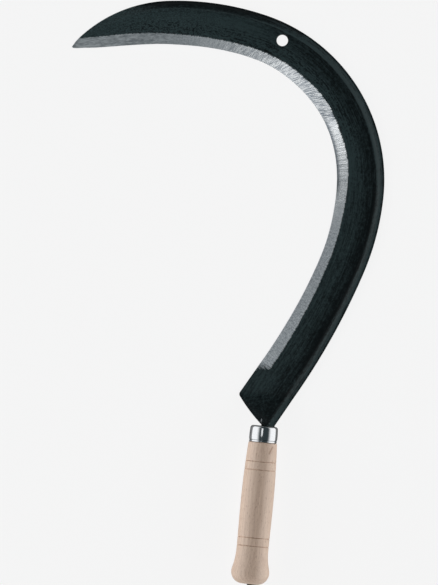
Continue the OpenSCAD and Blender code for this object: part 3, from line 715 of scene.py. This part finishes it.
# What the wood's material follows: the place, how deep it lies in a scored ring, and a small dark flaw
# 1.5 mm wide, which runs aslant from the shoulder on the upper side
wood_at = points_of(handle)
depth_in_score = [scored(-y) if y < 0 else 0 for y in wood_at[:, 1]]
flaw_half_w, flaw_from, flaw_to = 0.75, np.array([9.8, -3.4]), np.array([7.1, -9.8])
flaw_run = flaw_to - flaw_from
flaw_share = np.clip((wood_at[:, :2] - flaw_from) @ flaw_run / (flaw_run @ flaw_run), 0, 1)
from_flaw = np.linalg.norm(wood_at[:, :2] - flaw_from - np.outer(flaw_share, flaw_run), axis=1)
keep_on_points(handle, "wood_mm", np.column_stack([wood_at[:, 0], wood_at[:, 1], wood_at[:, 2] - AXIS_Z]))
keep_on_points(handle, "score_mm", depth_in_score)
keep_on_points(handle, "flaw", np.where(
    wood_at[:, 2] > AXIS_Z, np.exp(-(from_flaw / flaw_half_w) ** 2), 0))

# Steamed beech, turned and sanded but not varnished: pale pinkish brown, with soft growth bands, a darker
# band of painted shade along the middle, short dark ray flecks along the grain, and darker patches in the
# scored rings.
beech, tree, shader = new_material("sanded_steamed_beech")
place = add_node(tree, "ShaderNodeAttribute", attribute_name="wood_mm").outputs["Vector"]
score = add_node(tree, "ShaderNodeAttribute", attribute_name="score_mm").outputs["Fac"]
flaw = add_node(tree, "ShaderNodeAttribute", attribute_name="flaw").outputs["Fac"]

# Each of these is so many millimetres wide, and long along the grain: the wander of the growth rings, the
# ray flecks, the fibres, which are drawn coarser than the real ones so that they show, and the patches
# where the scored rings are darker.
figure = {}
for part, wide_mm, long_mm, detail in (
        ("wander", 14, 90, 2), ("flecks", 0.7, 3.2, 2), ("fibres", 0.5, 30, 4), ("score_patches", 5, 5, 2)):
    size = (1 / wide_mm, 1 / long_mm, 1 / wide_mm)
    scaled = add_node(tree, "ShaderNodeVectorMath", {0: place, 1: size}, operation="MULTIPLY")
    figure[part] = add_node(tree, "ShaderNodeTexNoise", {"Vector": scaled, "Scale": 1.0, "Detail": detail})

# Growth rings 3 mm apart round a pith 55 mm off the axis, as in a billet split from a larger log
ring_mm = 3
from_pith = add_node(tree, "ShaderNodeVectorMath", {0: place, 1: (38, 0, 40)}, operation="ADD")
flat = add_node(tree, "ShaderNodeVectorMath", {0: from_pith, 1: (1, 0.02, 1)}, operation="MULTIPLY")
ring_r = add_node(tree, "ShaderNodeVectorMath", {0: flat}, operation="LENGTH").outputs["Value"]
ring_shift = add_node(tree, "ShaderNodeMath", {
    0: figure["wander"], 1: 7.0, 2: ring_r}, operation="MULTIPLY_ADD")
ring_turns = add_node(tree, "ShaderNodeMath", {
    0: ring_shift, 1: 2 * math.pi / ring_mm}, operation="MULTIPLY")
ring_wave = add_node(tree, "ShaderNodeMath", {0: ring_turns}, operation="SINE")
growth = add_node(tree, "ShaderNodeMapRange", {
    "Value": ring_wave, "From Min": -1, "From Max": 1, "To Max": 0.1})
# A darker band 1.3 mm to the right of the middle, on the upper and the lower side alike: painted shade where
# the round handle turns away from the lights on both sides
across_centre = add_node(tree, "ShaderNodeSeparateXYZ", {0: place}).outputs["X"]
off_centre = add_node(tree, "ShaderNodeMath", {0: across_centre, 1: 1.3}, operation="SUBTRACT")
off_centre = add_node(tree, "ShaderNodeMath", {0: off_centre}, operation="ABSOLUTE")
centre_shade = add_node(tree, "ShaderNodeMapRange", {
    "Value": off_centre, "From Min": 9.0, "From Max": 1.0, "To Max": 0.12}, interpolation_type="SMOOTHSTEP")
flecks = add_node(tree, "ShaderNodeMapRange", {
    "Value": figure["flecks"], "From Min": 0.58, "From Max": 0.74, "To Max": 0.45})
fibre_share = add_node(tree, "ShaderNodeMapRange", {
    "Value": figure["fibres"], "From Min": 0.3, "From Max": 0.7, "To Max": 0.3})
# The scored rings are painted darker, in patches
score_darkening = add_node(tree, "ShaderNodeMapRange", {
    "Value": score, "From Min": 0.02, "From Max": 0.4, "To Max": 0.75})
score_patches = add_node(tree, "ShaderNodeMapRange", {
    "Value": figure["score_patches"], "From Min": 0.38, "From Max": 0.6, "To Min": 0.15})
score_darkening = add_node(tree, "ShaderNodeMath", {0: score_darkening, 1: score_patches}, operation="MULTIPLY")
flaw_dark = add_node(tree, "ShaderNodeMath", {0: flaw, 1: 0.6}, operation="MULTIPLY")
dark = growth
for part in (fibre_share, centre_shade, flecks):
    dark = add_node(tree, "ShaderNodeMath", {0: dark, 1: part}, operation="ADD", use_clamp=True)
grain_height = dark
for part in (score_darkening, flaw_dark):
    dark = add_node(tree, "ShaderNodeMath", {0: dark, 1: part}, operation="ADD", use_clamp=True)
beech_colour = add_node(tree, "ShaderNodeMix", {
    "Factor": dark, "A": linear("#eed5c1"), "B": linear("#a67d63")}, data_type="RGBA")
beech_rough = add_node(tree, "ShaderNodeMapRange", {
    "Value": figure["fibres"], "To Min": 0.42, "To Max": 0.58})
beech_bump = add_node(tree, "ShaderNodeBump", {"Height": grain_height, "Strength": 0.25, "Distance": -0.0001})
set_inputs(shader, {
    "Base Color": beech_colour, "Roughness": beech_rough, "Normal": beech_bump, "IOR": 1.53,
    "Specular IOR Level": 0.4, "Coat Weight": 0.25, "Coat Roughness": 0.28})

dress(handle, beech)
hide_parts("handle")
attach(handle, "root")

# The studio: a plain pale floor, and on it a grey glossy board under the handle that only reflections
# see. Both stand in a light tent, bright on both sides of the handle and dark overhead, with one small
# softbox over the blade.
def laid_floor(name, z, from_x, to_x, finish):
    """A flat floor 40 m long, a little below the object, with the finish that its shader is given."""
    mesh = bpy.data.meshes.new(name)
    corners = ((from_x, -20), (to_x, -20), (to_x, 20), (from_x, 20))
    mesh.from_pydata([(x, y, z) for x, y in corners], [], [[0, 1, 2, 3]])
    laid = bpy.data.objects.new(name, mesh)
    bpy.context.scene.collection.objects.link(laid)
    surface, tree, shader = new_material(name + "_painted")
    set_inputs(shader, finish)
    mesh.materials.append(surface)
    return laid


# The floor is as pale as the photograph's background, which was cleared to one plain tone
backdrop = laid_floor("backdrop", -0.0001, -20, 20, {
    "Base Color": linear("#505050"), "Roughness": 0.9,
    "Emission Color": linear("#ffffff"), "Emission Strength": 0.862})
backdrop.visible_glossy = backdrop.visible_transmission = backdrop.visible_shadow = False
# The board ends 90 mm left and 70 mm right of the handle, and draws the dark lines down the ferrule
table = laid_floor("table", -0.0002, -0.026, 0.134, {
    "Base Color": linear("#7c7c7c"), "Roughness": 0.08, "IOR": 1.8})
table.visible_camera = table.visible_diffuse = False

# The softbox hangs 1 m over the blade
softbox_wide, softbox_long, softbox_glow = 0.23, 0.245, 1.5
softbox_data = bpy.data.lights.new("softbox", "AREA")
softbox_data.shape, softbox_data.size, softbox_data.size_y = "RECTANGLE", softbox_wide, softbox_long
softbox_data.energy = softbox_glow * math.pi * softbox_wide * softbox_long
softbox = bpy.data.objects.new("softbox", softbox_data)
softbox.location = (-0.185, -0.0375, 1)
softbox.visible_camera = False
bpy.context.scene.collection.objects.link(softbox)

# The tent's walls are bright where they stand on both sides of the tool, and the ceiling between them is
# dark and slightly blue
world = bpy.data.worlds.new("light_tent")
world.use_nodes = True
tree = world.node_tree
direction = add_node(tree, "ShaderNodeTexCoord").outputs["Generated"]
split = add_node(tree, "ShaderNodeSeparateXYZ", {0: direction})
upright = add_node(tree, "ShaderNodeCombineXYZ", {"X": split.outputs["X"], "Z": split.outputs["Z"]})
across = add_node(tree, "ShaderNodeVectorMath", {0: upright}, operation="NORMALIZE")
lean = add_node(tree, "ShaderNodeSeparateXYZ", {0: across}).outputs["X"]
right_wall = add_node(tree, "ShaderNodeMapRange", {
    "Value": lean, "From Min": 0.56, "From Max": 0.92}, interpolation_type="SMOOTHSTEP")
left_wall = add_node(tree, "ShaderNodeMapRange", {
    "Value": lean, "From Min": -0.46, "From Max": -0.88}, interpolation_type="SMOOTHSTEP")
both_walls = add_node(tree, "ShaderNodeMath", {0: right_wall, 1: left_wall}, operation="ADD")
# The walls end towards the butt and the crown of the tool
end_on = add_node(tree, "ShaderNodeMath", {0: split.outputs["Y"]}, operation="ABSOLUTE")
wall_run = add_node(tree, "ShaderNodeMapRange", {
    "Value": end_on, "From Min": 0.95, "From Max": 0.55, "To Min": 0.25}, interpolation_type="SMOOTHSTEP")
walls = add_node(tree, "ShaderNodeMath", {0: both_walls, 1: wall_run}, operation="MULTIPLY")
tent_colour = add_node(tree, "ShaderNodeMix", {
    "Factor": walls, "A": linear("#414c4f"), "B": linear("#ffffff")}, data_type="RGBA")
strength = add_node(tree, "ShaderNodeMapRange", {"Value": walls, "To Min": 1.0, "To Max": 1.75})
set_inputs(tree.nodes["Background"], {"Color": tent_colour, "Strength": strength})
bpy.context.scene.world = world
bpy.context.scene.view_settings.view_transform = "Standard"

# The camera looks straight down through a long lens, turned so that the handle leans as it does in the
# photograph. One pixel of its 438 x 585 picture is 0.97 mm on the plate.
picture_tall = 585 * 0.97 * MM
lens, sensor, handle_lean = 600, 36, 5.546
over_x, over_y = 0.00767, 0.00173
camera_data = bpy.data.cameras.new("camera")
camera_data.lens, camera_data.sensor_width = lens, sensor
camera_data.clip_start, camera_data.clip_end = 0.1, 50
camera = bpy.data.objects.new("camera", camera_data)
camera.matrix_world = (
    Matrix.Translation((over_x, over_y, plate_t * MM + picture_tall * lens / sensor))
    @ Matrix.Rotation(math.radians(handle_lean), 4, "Z"))
bpy.context.scene.collection.objects.link(camera)
bpy.context.scene.camera = camera
